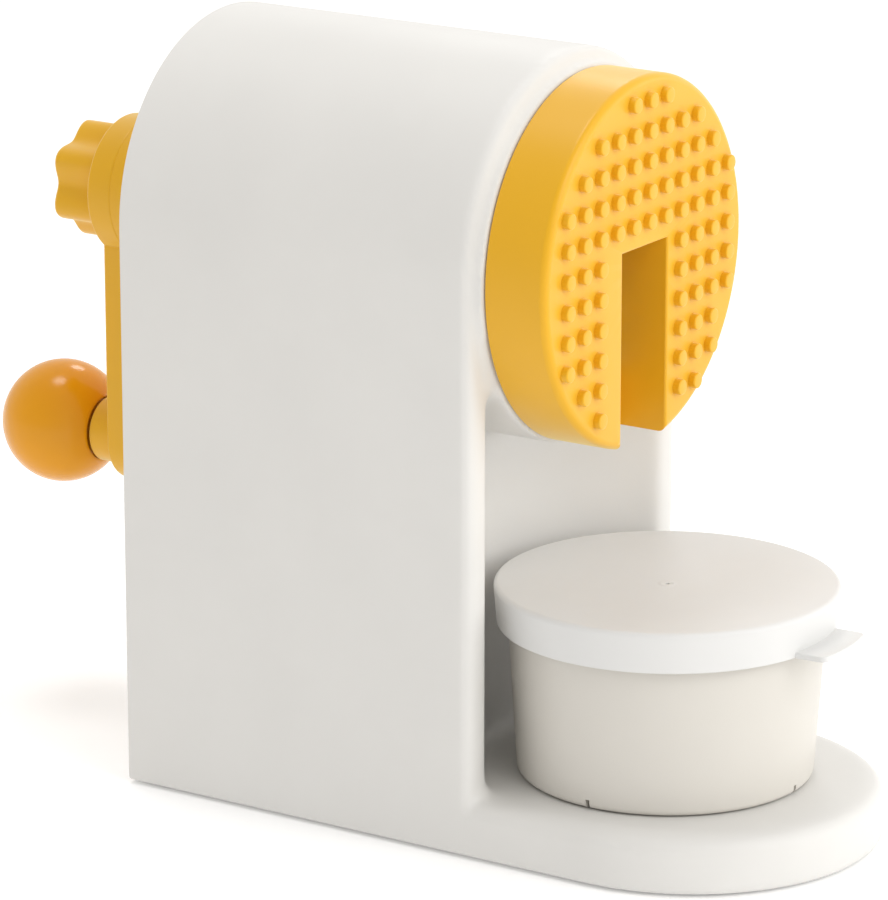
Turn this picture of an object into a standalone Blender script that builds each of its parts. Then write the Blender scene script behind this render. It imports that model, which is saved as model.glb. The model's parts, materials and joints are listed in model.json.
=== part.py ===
"""Countertop potato ricer with a screw press.

The hand crank turns a drive tube. A nut in the tube's front cup moves a keyed lead screw and
its piston along a horizontal barrel, the piston presses the food through the ricer plate in the
front cap, and it falls down the cap's chute into a lidded bowl that stands on the base.

The origin is the middle of the footprint, on the table. +Z is up and -Y is the front, where the
bowl stands; the crank is at +Y. Every size below is in millimetres, and MM turns it into metres.
"""

import math

import bmesh
import bpy
from mathutils import Matrix, Vector

MM = 0.001
GAP = 0.3  # the least room between two pieces

# Driving dimensions of the housing
HALF_WIDTH = 52.1
WALL = 2.8
AXIS_Z = 153.0  # height of the barrel, cap and crank axis
ARCH_Z = 154.9  # height of the centre of the arched top
FRONT_Y = -50.0
BACK_Y = 60.3
FRONT_ROUND = 3.4
RIM_Z = 0.6  # the shell's lower rim hangs this far above the table
BASE_TOP = 15.95
BASE_ARC_Y = -85.05  # centre of the base's half-round front end
BASE_TOP_ROUND = 5.3
BASE_LOW_ROUND = 1.0
COLUMN_FOOT_Z = 8.0  # the column's prism starts here, inside the base
HEAD_RADIUS = 50.2
HEAD_FRONT = -52.3

# The bowl's bay
BOWL_Y = -78.3
BAY_RADIUS = 52.0
BAY_TOP_Z = AXIS_Z

# Covers, feet and bosses
COVER = 2.6
FOOT_RADIUS = 6.0
FOOT_HEIGHT = 1.8
FOOT_POCKET_Z = 2.1
BOTTOM_COVER_Z = (0.9, 3.3)
BOSS_RADIUS = 3.4
BOSS_HOLE = 1.3
SHANK_HOLE = 1.6
HEAD_SEAT = 2.9
BOSS_DEPTH = 17.0
BACK_BOSSES = ((-44.5, 24.0), (44.5, 24.0), (-31.5, 186.4), (31.5, 186.4))  # x, z
BOTTOM_BOSSES = ((-30.0, -105.0), (30.0, -105.0), (-44.5, 38.0), (44.5, 38.0))  # x, y
FEET = {
    "foot_front_left": (-20.0, -120.0),
    "foot_front_right": (20.0, -120.0),
    "foot_back_left": (-34.0, 46.0),
    "foot_back_right": (34.0, 46.0),
}

# Press
BARREL_BORE = 38.0
BARREL_WALL = 3.0
BARREL_Y = (-52.0, 26.7)
FLANGE = 3.0
FRONT_FLANGE_RADIUS = 47.0
REAR_FLANGE_RADIUS = 46.0
FRONT_SCREW_CIRCLE = 44.0
REAR_SCREW_CIRCLE = 43.6
FLANGE_HOLE = 1.2
FLANGE_HEAD = 2.0  # head radius of the screws through the flanges
FLANGE_SHANK = 0.9
PISTON_Y = (17.2, 25.2)
PISTON_RADIUS = 37.6
PISTON_GROOVE = (2.2, 5.8)  # from the piston's face
PISTON_GROOVE_DEPTH = 2.4
PISTON_HOLE = 2.3
SCREW_RADIUS = 5.0
SCREW_ROOT = 4.1
SCREW_FLAT = 4.4  # half the width across the lead screw's two flats
SCREW_LEAD = 10.0
SCREW_Y = (25.5, 92.0)
END_PLATE_Y = (27.0, 30.0)
END_PLATE_BORE = 8.3
CUP_Y = (32.0, 48.0)
CUP_RADIUS = 13.5
CUP_FLOOR = 2.5
NUT_CORNER = 10.6
TUBE_RADIUS = 9.0
TUBE_BORE = 6.2
TUBE_END = 101.5
TUBE_FLAT = 7.8
BEARING_Y = (50.0, 76.0)
BEARING_RADIUS = 14.0
BEARING_BORE = 12.0

# Crank
HUB_Y = (76.5, 95.7)
HUB_RADIUS = 19.6
ARM_THICKNESS = 8.0
ARM_HALF_WIDTH = 12.5  # also the radius of its rounded end
ARM_LENGTH = 71.6  # from the crank's axis to the ball's
ARM_EDGE = 0.8
COLLAR_RADIUS = 9.15
COLLAR_END = 104.3
PIN_HOLE = 3.3
PIN_RADIUS = 3.0
BALL_Y = 119.9
BALL_RADIUS = 17.4
BALL_FRONT = COLLAR_END + 0.9
BALL_SEAT = 5.3  # radius of the recess for the spindle's head and the plug
BALL_SEAT_Y = BALL_Y + 6.0
STAR_Y = (96.0, 111.0)
STAR_RADIUS = 16.0
STAR_VALLEY = 12.9
STAR_EDGE = 1.0
STAR_LOBES = 6
STAR_PHASE = 147.5  # degrees from +X towards +Z

# Front cap
CAP_Y = (-70.8, -52.6)
CAP_RADIUS = 49.35
CAP_WALL = 3.0
CAP_EDGE = 2.0
POCKET_RADIUS = 34.4
SPIGOT_RADIUS = 37.4
SPIGOT_END = -42.6
SPIGOT_GROOVE = (4.4, 7.0)  # from the cap's rear face
SPIGOT_GROOVE_DEPTH = 1.2
CHUTE_X = (-11.8, 10.6)
CHUTE_TOP = AXIS_Z + 4.5
CHUTE_BACK = -55.2
CHUTE_WALL = 2.5
PASSAGE_LOW = AXIS_Z - 30.0  # lower edge of the opening from the pocket into the chute
PEG_PITCH = 8.0
PEG_RADIUS = 2.15
PEG_HEIGHT = 2.0
PEG_CENTRE = (0.2, 3.0)  # of the grid, from the cap's axis
PEG_ROWS = (  # from the top row down: the runs of columns that hold a peg, -5 to 5
    ((-1, 1),),
    ((-3, 3),),
    ((-4, 4),),
    ((-5, 5),),
    ((-5, 5),),
    ((-5, -3), (2, 5)),
    ((-5, -3), (2, 5)),
    ((-5, -3), (2, 5)),
    ((-5, -3), (2, 4)),
    ((-4, -3), (2, 4)),
    ((-3, -3), (2, 3)),
)

PLATE_THICKNESS = 1.6
PLATE_HOLE = 1.8
PLATE_GRID = (4, 6)  # columns and rows of holes
PLATE_PITCH = (5.0, 5.2)

# Bowl and lid
BOWL_BOTTOM = BASE_TOP + GAP
BOWL_FOOT_RADIUS = 39.35
BOWL_NECK = (41.95, 57.0)
BOWL_RIM = (43.4, 64.5)
BOWL_WALL = 1.8
BOWL_FLOOR = (1.2, 2.8)  # above the bowl's foot
NOTCH_HALF_WIDTH = 0.6
NOTCH_HEIGHT = 2.2
LID_RADIUS = 45.9
LID_TOP = 68.15
LID_SKIRT = (44.9, 56.95)
LID_BORE = 43.8
TAB_WIDTH = 24.0
TAB_REACH = 53.3  # its outer edge is an arc round the lid's axis
TAB_CORNER = 2.0
TAB_THICKNESS = 1.6
TAB_TURN = 3.2  # degrees from straight ahead towards +X

FINISHES = {  # colour, roughness, metallic
    "white_plastic": ((0.78, 0.76, 0.71), 0.45, 0.0),
    "yellow_plastic": ((0.86, 0.45, 0.05), 0.35, 0.0),
    "yellow_gloss": ((0.86, 0.45, 0.05), 0.15, 0.0),
    "bowl_plastic": ((0.82, 0.79, 0.73), 0.4, 0.0),
    "black_rubber": ((0.02, 0.02, 0.02), 0.8, 0.0),
    "clear_grey_rubber": ((0.55, 0.55, 0.53), 0.6, 0.0),
    "acetal": ((0.75, 0.75, 0.72), 0.35, 0.0),
    "steel": ((0.6, 0.6, 0.6), 0.3, 1.0),
    "brass": ((0.75, 0.55, 0.25), 0.35, 1.0),
}


# Tools


def clear_scene():
    for obj in list(bpy.data.objects):
        bpy.data.objects.remove(obj, do_unlink=True)


def paint(obj, finish):
    colour, roughness, metallic = FINISHES[finish]
    made = bpy.data.materials.new(f"{obj.name}_{finish}")
    made.use_nodes = True
    shader = made.node_tree.nodes["Principled BSDF"]
    shader.inputs["Base Color"].default_value = (*colour, 1.0)
    shader.inputs["Roughness"].default_value = roughness
    shader.inputs["Metallic"].default_value = metallic
    obj.data.materials.append(made)
    return obj


def along(axis, u, v, height):
    """The point at height along the axis and at (u, v) across it, in metres."""
    point = (u, height, v) if axis == "Y" else (u, v, height)
    return [MM * value for value in point]


def object_from(bm, name, at):
    bmesh.ops.recalc_face_normals(bm, faces=bm.faces)
    mesh = bpy.data.meshes.new(name)
    bm.to_mesh(mesh)
    bm.free()
    mesh.shade_smooth()
    mesh.set_sharp_from_angle(angle=math.radians(32))
    obj = bpy.data.objects.new(name, mesh)
    obj.location = [MM * value for value in at]
    bpy.context.scene.collection.objects.link(obj)
    return obj


def join_loops(bm, lower, upper):
    """Faces between two loops of the same length, or between a loop and a single point."""
    count = max(len(lower), len(upper))
    if len(lower) == len(upper) == 1:
        return
    for k in range(count):
        after = (k + 1) % count
        corners = [lower[k % len(lower)], lower[after % len(lower)]]
        corners += [upper[after % len(upper)], upper[k % len(upper)]]
        bm.faces.new(list(dict.fromkeys(corners)))


def turned(name, profile, at=(0.0, 0.0, AXIS_Z), axis="Y", segments=36):
    """A body of revolution from a closed profile of (radius, height) points."""
    bm = bmesh.new()
    loops = []
    for radius, height in profile:
        count = segments if radius > 0 else 1
        turns = [2 * math.pi * k / count for k in range(count)]
        points = [(radius * math.cos(t), radius * math.sin(t)) for t in turns]
        loops.append([bm.verts.new(along(axis, u, v, height)) for u, v in points])
    for lower, upper in zip(loops, loops[1:] + loops[:1]):
        join_loops(bm, lower, upper)
    return object_from(bm, name, at)


def lofted(name, sections, at=(0.0, 0.0, 0.0), axis="Y"):
    """A closed body through sections of (height, outline), all with as many points."""
    bm = bmesh.new()
    loops = []
    for height, outline in sections:
        loops.append([bm.verts.new(along(axis, u, v, height)) for u, v in outline])
    for lower, upper in zip(loops, loops[1:]):
        join_loops(bm, lower, upper)
    bm.faces.new(loops[0])
    bm.faces.new(loops[-1])
    return object_from(bm, name, at)


def tube_profile(inner, outer, start, end):
    return [(outer, start), (outer, end), (inner, end), (inner, start)]


def rod(name, radius, start, end, at=(0.0, 0.0, AXIS_Z), axis="Y", segments=20):
    profile = [(0, start), (radius, start), (radius, end), (0, end)]
    return turned(name, profile, at, axis, segments)


def box(name, low, high):
    outline = [(low[0], low[2]), (high[0], low[2]), (high[0], high[2]), (low[0], high[2])]
    return lofted(name, [(low[1], outline), (high[1], outline)])


def arc(centre, radius, first, last, steps):
    """Points on an arc; the angles are in degrees from +u towards +v."""
    angles = [math.radians(first + (last - first) * k / steps) for k in range(steps + 1)]
    return [(centre[0] + radius * math.cos(a), centre[1] + radius * math.sin(a)) for a in angles]


def rounded(start, radius, steps):
    """(height, inset) pairs that round an edge over from its face at start to its side."""
    angles = [math.pi / 2 * k / steps for k in range(steps + 1)]
    return [(start + radius * (1 - math.cos(a)), abs(radius) * (1 - math.sin(a))) for a in angles]


def combine(obj, other, operation):
    """Joins or cuts obj with a helper, which then stays in the scene as a guide only. The exact
    solver leaves pinholes where these small cuts cross each other's faces, so it isn't used."""
    modifier = obj.modifiers.new(f"{operation.lower()}_{other.name}", "BOOLEAN")
    modifier.operation = operation
    modifier.object = other
    modifier.solver = "MANIFOLD"
    other.hide_render = True
    other.display_type = "WIRE"
    return obj


def cut(obj, *others):
    for other in others:
        combine(obj, other, "DIFFERENCE")
    return obj


def join(obj, *others):
    for other in others:
        combine(obj, other, "UNION")
    return obj


def merged(name, objects):
    """One helper mesh out of several that don't touch each other."""
    bm = bmesh.new()
    for obj in objects:
        part = obj.data.copy()
        part.transform(Matrix.Translation(obj.location))
        bm.from_mesh(part)
        bpy.data.meshes.remove(part)
        bpy.data.objects.remove(obj, do_unlink=True)
    return object_from(bm, name, (0.0, 0.0, 0.0))


def pivot(name, at):
    """An empty on a joint's axis, which the joint's pieces are parented to."""
    empty = bpy.data.objects.new(name, None)
    empty.location = [MM * value for value in at]
    empty.empty_display_size = 0.02
    bpy.context.scene.collection.objects.link(empty)
    return empty


def carry(parent, *children):
    for child in children:
        child.parent = parent
        child.matrix_parent_inverse = Matrix.Translation(parent.location).inverted()


def circle_places(count, radius, first=90.0):
    angles = [math.radians(first + 360.0 * k / count) for k in range(count)]
    return [(radius * math.cos(a), AXIS_Z + radius * math.sin(a)) for a in angles]


# Outlines


def arch_outline(inset=0.0, foot=COLUMN_FOOT_Z):
    """The column seen from the front: two straight sides under a half circle."""
    half = HALF_WIDTH - inset
    return [(half, foot), *arc((0.0, ARCH_Z), half, 0.0, 180.0, 24), (-half, foot)]


def base_outline(inset=0.0, back=BACK_Y):
    """The footprint seen from above: straight sides with a half-round front end."""
    half = HALF_WIDTH - inset
    return [(half, back), (-half, back), *arc((0.0, BASE_ARC_Y), half, 180.0, 360.0, 24)]


def boss_outline(centre, outward):
    """A round boss whose outer side reaches straight into the wall beside it."""
    reach = BOSS_RADIUS + 3.0
    turn = math.degrees(math.atan2(outward[1], outward[0]))
    inner = arc(centre, BOSS_RADIUS, turn + 90.0, turn + 270.0, 10)
    outer = [(u + reach * outward[0], v + reach * outward[1]) for u, v in (inner[-1], inner[0])]
    return inner + outer


def double_d(radius, flat, steps=12):
    """A circle with its two sides at +x and -x cut flat."""
    open_angle = math.degrees(math.acos(flat / radius))
    upper = arc((0.0, 0.0), radius, open_angle, 180.0 - open_angle, steps)
    lower = arc((0.0, 0.0), radius, 180.0 + open_angle, 360.0 - open_angle, steps)
    return upper + lower


def star_outline(inset=0.0):
    middle = (STAR_RADIUS + STAR_VALLEY) / 2 - inset
    swing = (STAR_RADIUS - STAR_VALLEY) / 2
    count = STAR_LOBES * 8
    points = []
    for k in range(count):
        turn = 2 * math.pi * k / count
        radius = middle + swing * math.cos(STAR_LOBES * turn)
        angle = turn + math.radians(STAR_PHASE)
        points.append((radius * math.cos(angle), radius * math.sin(angle)))
    return points


def crank_outline(inset=0.0):
    """The crank seen from behind: a round hub, a straight arm and a half-round end."""
    half = ARM_HALF_WIDTH - inset
    hub = HUB_RADIUS - inset
    hub_angle = math.degrees(math.acos(half / hub))
    top = arc((0.0, 0.0), hub, -hub_angle, 180.0 + hub_angle, 24)
    return top + arc((0.0, -ARM_LENGTH), half, 180.0, 360.0, 12)


# Housing


def housing_outside():
    front = [(y, arch_outline(inset)) for y, inset in rounded(FRONT_Y, FRONT_ROUND, 3)]
    shell = lofted("housing_shell", front + [(BACK_Y, arch_outline())])
    levels = rounded(RIM_Z, BASE_LOW_ROUND, 1) + rounded(BASE_TOP, -BASE_TOP_ROUND, 3)[::-1]
    base = lofted("housing_base_form", [(z, base_outline(inset)) for z, inset in levels], axis="Z")
    head = rod("housing_head_form", HEAD_RADIUS, HEAD_FRONT, FRONT_Y + 10.0, segments=40)
    return join(shell, base, head)


def bay_cutter():
    bay = rod("bay_form", BAY_RADIUS, BASE_TOP, BAY_TOP_Z, (0.0, BOWL_Y, 0.0), "Z", 40)
    head = rod("bay_head_form", HEAD_RADIUS, HEAD_FRONT - 8.0, BACK_Y, segments=40)
    return cut(bay, head)


def hollow_cutter():
    """The inside of the shell: column, head and base, open at the back and the bottom."""
    inner = arch_outline(WALL, foot=-2.0)
    column = lofted("hollow_form", [(FRONT_Y + WALL, inner), (BACK_Y + 2.0, inner)])
    bay = rod("hollow_bay_form", BAY_RADIUS + WALL, -3.0, BAY_TOP_Z, (0.0, BOWL_Y, 0.0), "Z", 40)
    head = rod("hollow_head_form", HEAD_RADIUS - WALL, HEAD_FRONT + WALL, BACK_Y - 1.0, segments=40)
    floor = base_outline(WALL + 0.05, BACK_Y + 3.0)
    base = lofted("hollow_base_form", [(-3.0, floor), (BASE_TOP - WALL, floor)], axis="Z")
    return join(cut(column, bay), head, base)


def back_screw_y():
    return BACK_Y - GAP - COVER


def screw_bosses():
    """Bosses for the covers' screws. Those of the base's front stand under its top, and the rest
    grow out of the wall beside them: the arch's along its radius, the lower ones sideways."""
    start = back_screw_y() - GAP
    bosses = []
    for x, z in BACK_BOSSES:
        outward = Vector((x, max(z - ARCH_Z, 0.0))).normalized()
        outline = boss_outline((x, z), outward)
        bosses.append(lofted("boss", [(start - BOSS_DEPTH, outline), (start, outline)]))
    low = BOTTOM_COVER_Z[1] + GAP
    for x, y in BOTTOM_BOSSES:
        if y < FRONT_Y:
            bosses.append(rod("boss", BOSS_RADIUS, low, BASE_TOP - 1.0, (x, y, 0.0), "Z", 20))
            continue
        outline = boss_outline((x, y), (math.copysign(1.0, x), 0.0))
        bosses.append(lofted("boss", [(low, outline), (low + BOSS_DEPTH, outline)], axis="Z"))
    return merged("screw_boss_forms", bosses)


def screw_holes():
    past = 1.0  # how far a hole's cutter runs past the boss's face
    rear = back_screw_y() - GAP + past
    low = BOTTOM_COVER_Z[1] + GAP - past
    front = (HEAD_FRONT + 1.1, HEAD_FRONT + WALL + past)
    holes = [rod("hole", BOSS_HOLE, rear - 14.0, rear, (x, 0.0, z), "Y", 8) for x, z in BACK_BOSSES]
    holes += [rod("hole", BOSS_HOLE, low, low + 10.0, (x, y, 0.0), "Z", 8) for x, y in BOTTOM_BOSSES]
    for x, z in circle_places(3, FRONT_SCREW_CIRCLE):
        holes.append(rod("hole", BOSS_HOLE, *front, (x, 0.0, z), "Y", 8))
    return merged("screw_hole_forms", holes)


def make_housing():
    shell = housing_outside()
    mouth_radius = BARREL_BORE + BARREL_WALL + GAP
    mouth = rod("mouth_form", mouth_radius, HEAD_FRONT - 2.0, HEAD_FRONT + WALL + 2.0, segments=40)
    cut(shell, bay_cutter(), hollow_cutter())
    join(shell, screw_bosses())
    cut(shell, mouth, screw_holes())
    return paint(shell, "white_plastic")


def screw_seat(tip, step, mouth, at, axis):
    """A cutter for a screw's clearance hole and the wider seat of its head."""
    profile = [(0, tip), (SHANK_HOLE, tip), (SHANK_HOLE, step), (HEAD_SEAT, step)]
    profile += [(HEAD_SEAT, mouth), (0, mouth)]
    return turned("seat", profile, at, axis, 10)


def make_back_cover():
    inset = WALL + GAP
    outline = arch_outline(inset, foot=BOTTOM_COVER_Z[0] + GAP)
    start = back_screw_y()
    end = BACK_Y - GAP
    cover = lofted("back_cover", [(start, outline), (end, outline)])
    boss = rod("bearing_form", BEARING_RADIUS, *BEARING_Y, segments=36)
    bore = rod("bearing_bore_form", BEARING_BORE, BEARING_Y[0] - 1.0, BEARING_Y[1] + 1.0, segments=36)
    seats = [screw_seat(start - 1.0, end - 1.3, end + 1.0, (x, 0.0, z), "Y") for x, z in BACK_BOSSES]
    join(cover, boss)
    cut(cover, bore, merged("back_seat_forms", seats))
    return paint(cover, "white_plastic")


def make_bottom_cover():
    low, high = BOTTOM_COVER_Z
    outline = base_outline(WALL + 0.05 + GAP, back_screw_y() - GAP)
    cover = lofted("bottom_cover", [(low, outline), (high, outline)], axis="Z")
    seats = [screw_seat(high + 1.0, low + 1.4, low - 1.0, (x, y, 0.0), "Z") for x, y in BOTTOM_BOSSES]
    pockets = [
        rod("pocket", FOOT_RADIUS + GAP, low - 1.0, FOOT_POCKET_Z, (x, y, 0.0), "Z", 16)
        for x, y in FEET.values()
    ]
    cut(cover, merged("bottom_seat_forms", seats + pockets))
    return paint(cover, "white_plastic")


def make_feet():
    for name, (x, y) in FEET.items():
        edge = 0.4
        profile = [(0, 0), (FOOT_RADIUS - edge, 0), (FOOT_RADIUS, edge)]
        profile += [(FOOT_RADIUS, FOOT_HEIGHT), (0, FOOT_HEIGHT)]
        paint(turned(name, profile, (x, y, 0.0), "Z", 16), "black_rubber")


def make_screw(name, head, shank, at, axis):
    """A pan-head screw with a round socket. head is (radius, outer end, inner end) and shank is
    (radius, tip), both measured along the axis."""
    radius, outer, inner = head
    into = math.copysign(0.6, inner - outer)
    socket = radius * 0.4
    profile = [(0, outer + into), (socket, outer + into), (socket, outer), (radius, outer)]
    profile += [(radius, inner), (shank[0], inner), (shank[0], shank[1]), (0, shank[1])]
    return paint(turned(name, profile, at, axis, 10), "steel")


def make_housing_screws():
    end = BACK_Y - GAP
    head, shank = (2.5, end - 0.1, end - 1.0), (1.0, end - 13.0)
    for number, (x, z) in enumerate(BACK_BOSSES, 1):
        make_screw(f"back_screw_{number}", head, shank, (x, 0.0, z), "Y")
    low = BOTTOM_COVER_Z[0]
    head, shank = (2.5, low + 0.1, low + 1.1), (1.0, low + 10.0)
    for number, (x, y) in enumerate(BOTTOM_BOSSES, 1):
        make_screw(f"bottom_screw_{number}", head, shank, (x, y, 0.0), "Z")


# Press


def make_barrel():
    front, rear = BARREL_Y
    outer = BARREL_BORE + BARREL_WALL
    step = HEAD_FRONT + WALL + GAP
    profile = [(BARREL_BORE, front), (outer, front), (outer, step), (FRONT_FLANGE_RADIUS, step)]
    profile += [(FRONT_FLANGE_RADIUS, step + FLANGE), (outer, step + FLANGE), (outer, rear - FLANGE)]
    profile += [(REAR_FLANGE_RADIUS, rear - FLANGE), (REAR_FLANGE_RADIUS, rear), (BARREL_BORE, rear)]
    barrel = turned("barrel", profile, segments=36)
    holes = flange_holes(FRONT_SCREW_CIRCLE, step - 1.0, step + FLANGE + 1.0)
    holes += flange_holes(REAR_SCREW_CIRCLE, rear - 2.6, rear + 1.0)
    cut(barrel, merged("barrel_hole_forms", holes))
    face = step + FLANGE
    for number, (x, z) in enumerate(circle_places(3, FRONT_SCREW_CIRCLE), 1):
        head = (FLANGE_HEAD, face + 1.5, face + GAP)
        make_screw(f"barrel_screw_{number}", head, (FLANGE_SHANK, HEAD_FRONT + 1.5), (x, 0.0, z), "Y")
    return paint(barrel, "acetal")


def flange_holes(circle, start, end):
    places = circle_places(3, circle)
    return [rod("hole", FLANGE_HOLE, start, end, (x, 0.0, z), "Y", 8) for x, z in places]


def make_end_plate():
    front, rear = END_PLATE_Y
    profile = tube_profile(END_PLATE_BORE, REAR_FLANGE_RADIUS, front, rear)
    plate = turned("barrel_end_plate", profile, segments=36)
    holes = flange_holes(REAR_SCREW_CIRCLE, front - 1.0, rear + 1.0)
    cut(plate, merged("end_plate_hole_forms", holes))
    head = (FLANGE_HEAD, rear + 1.5, rear + GAP)
    tip = rear - 5.2
    for number, (x, z) in enumerate(circle_places(3, REAR_SCREW_CIRCLE), 1):
        make_screw(f"end_plate_screw_{number}", head, (FLANGE_SHANK, tip), (x, 0.0, z), "Y")
    return paint(plate, "acetal")


def make_bushes():
    front, rear = END_PLATE_Y
    key = rod("key_bush", END_PLATE_BORE - GAP, front - 0.6, rear - 0.1, segments=20)
    keyway = double_d(SCREW_RADIUS + GAP, SCREW_FLAT + GAP)
    cutter = lofted("keyway_form", [(front - 3.0, keyway), (rear + 3.0, keyway)], (0.0, 0.0, AXIS_Z))
    paint(cut(key, cutter), "acetal")
    inner = TUBE_RADIUS + GAP
    outer = BEARING_BORE - GAP
    bush = tube_profile(inner, outer, BEARING_Y[0] + 0.4, BEARING_Y[1] - GAP)
    paint(turned("rear_bush", bush, segments=28), "brass")
    front_washer = tube_profile(SCREW_RADIUS + 1.0, CUP_RADIUS, rear + GAP, CUP_Y[0] - GAP)
    paint(turned("front_thrust_washer", front_washer, segments=20), "steel")
    rear_washer = tube_profile(inner, BEARING_RADIUS - 0.2, CUP_Y[1] + GAP, BEARING_Y[0] - GAP)
    paint(turned("rear_thrust_washer", rear_washer, segments=20), "steel")


def make_piston():
    front, rear = PISTON_Y
    outer = PISTON_RADIUS
    floor = outer - PISTON_GROOVE_DEPTH
    low, high = [front + depth for depth in PISTON_GROOVE]
    profile = [(0, front), (outer - 1.0, front), (outer, front + 1.0), (outer, low), (floor, low)]
    profile += [(floor, high), (outer, high), (outer, rear), (0, rear)]
    piston = turned("piston", profile, segments=36)
    seat = rod("piston_seat_form", 4.6, front - 1.0, front + 3.0, segments=16)
    hole = rod("piston_hole_form", PISTON_HOLE, front + 1.0, rear + 1.0, segments=10)
    paint(cut(piston, seat, hole), "acetal")
    ring = tube_profile(floor + GAP, BARREL_BORE - GAP, low + GAP, high - GAP)
    paint(turned("piston_seal", ring, segments=36), "clear_grey_rubber")
    head = (4.2, front + 0.4, front + 2.7)
    shank = (PISTON_HOLE - GAP, front + 15.0)
    make_screw("piston_screw", head, shank, (0.0, 0.0, AXIS_Z), "Y")


def make_lead_screw():
    """A single-start coarse thread with two flats along it, which the key bush holds."""
    start, end = SCREW_Y
    segments, rings_per_lead = 14, 3
    rings = round((end - start) / SCREW_LEAD * rings_per_lead)
    sections = []
    for ring in range(rings + 1):
        y = start + (end - start) * ring / rings
        outline = []
        for k in range(segments):
            turn = 2 * math.pi * (k + 0.5) / segments
            wave = 0.5 + 0.5 * math.cos(turn - 2 * math.pi * (y - start) / SCREW_LEAD)
            radius = SCREW_ROOT + (SCREW_RADIUS - SCREW_ROOT) * wave
            radius = min(radius, SCREW_FLAT / abs(math.cos(turn)))
            outline.append((radius * math.cos(turn), radius * math.sin(turn)))
        sections.append((y, outline))
    screw = lofted("lead_screw", sections, (0.0, 0.0, AXIS_Z))
    hole = rod("lead_screw_hole_form", PISTON_HOLE, start - 1.0, start + 9.0, segments=10)
    return paint(cut(screw, hole), "steel")


def make_drive():
    hexagon = arc((0.0, 0.0), NUT_CORNER, 0.0, 300.0, 5)
    pocket = arc((0.0, 0.0), NUT_CORNER + 0.4, 0.0, 300.0, 5)
    floor = CUP_Y[1] - CUP_FLOOR
    at = (0.0, 0.0, AXIS_Z)
    nut = lofted("drive_nut", [(CUP_Y[0] + GAP, hexagon), (floor - GAP, hexagon)], at)
    nut_bore = rod("nut_bore_form", SCREW_RADIUS + GAP, CUP_Y[0] - 1.0, CUP_Y[1], segments=16)
    paint(cut(nut, nut_bore), "brass")

    profile = [(0, CUP_Y[0]), (CUP_RADIUS, CUP_Y[0]), (CUP_RADIUS, CUP_Y[1]), (TUBE_RADIUS, CUP_Y[1])]
    profile += [(TUBE_RADIUS, TUBE_END), (0, TUBE_END)]
    tube = turned("drive_tube", profile, segments=28)
    nut_pocket = lofted("nut_pocket_form", [(CUP_Y[0] - 1.0, pocket), (floor, pocket)], at)
    bore = rod("tube_bore_form", TUBE_BORE, CUP_Y[0], TUBE_END + 1.0, segments=16)
    flat_from = HUB_Y[0] - 0.3
    flats = []
    for side in (-1, 1):
        near, far = sorted((side * TUBE_FLAT, side * (TUBE_RADIUS + 2.0)))
        low = (near, flat_from, AXIS_Z - 12.0)
        flats.append(box("flat", low, (far, TUBE_END + 2.0, AXIS_Z + 12.0)))
    cut(tube, nut_pocket, bore, merged("tube_flat_forms", flats))
    return paint(tube, "steel")


# Crank


def make_crank_arm():
    start, end = HUB_Y
    face = end - ARM_THICKNESS
    levels = rounded(face, ARM_EDGE, 2) + rounded(end, -ARM_EDGE, 2)[::-1]
    arm = lofted("crank_arm", [(y, crank_outline(inset)) for y, inset in levels], (0.0, 0.0, AXIS_Z))
    hub = rod("hub_form", HUB_RADIUS - 0.2, start, face + 2.0, segments=36)
    knob_z = AXIS_Z - ARM_LENGTH
    collar = rod("collar_form", COLLAR_RADIUS, end - 2.0, COLLAR_END, (0.0, 0.0, knob_z))
    keyway = double_d(TUBE_RADIUS + GAP, TUBE_FLAT + GAP)
    at = (0.0, 0.0, AXIS_Z)
    bore = lofted("hub_bore_form", [(start - 1.0, keyway), (end + 1.0, keyway)], at)
    pin_at = (0.0, 0.0, knob_z)
    pin_hole = rod("pin_hole_form", PIN_HOLE, face + 2.0, COLLAR_END + 1.0, pin_at, segments=14)
    join(arm, hub, collar)
    return paint(cut(arm, bore, pin_hole), "yellow_plastic")


def make_star_knob():
    start, end = STAR_Y
    levels = [(start, 0.0)] + rounded(end, -STAR_EDGE, 2)[::-1]
    at = (0.0, 0.0, AXIS_Z)
    knob = lofted("star_knob", [(y, star_outline(inset)) for y, inset in levels], at)
    bore = rod("star_bore_form", TUBE_RADIUS + GAP, start - 1.0, TUBE_END + 1.0, segments=20)
    return paint(cut(knob, bore), "yellow_plastic")


def ball_radius_end(radius):
    """How far back the ball's surface is at a radius from its axis."""
    return BALL_Y + math.sqrt(BALL_RADIUS**2 - radius**2)


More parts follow.
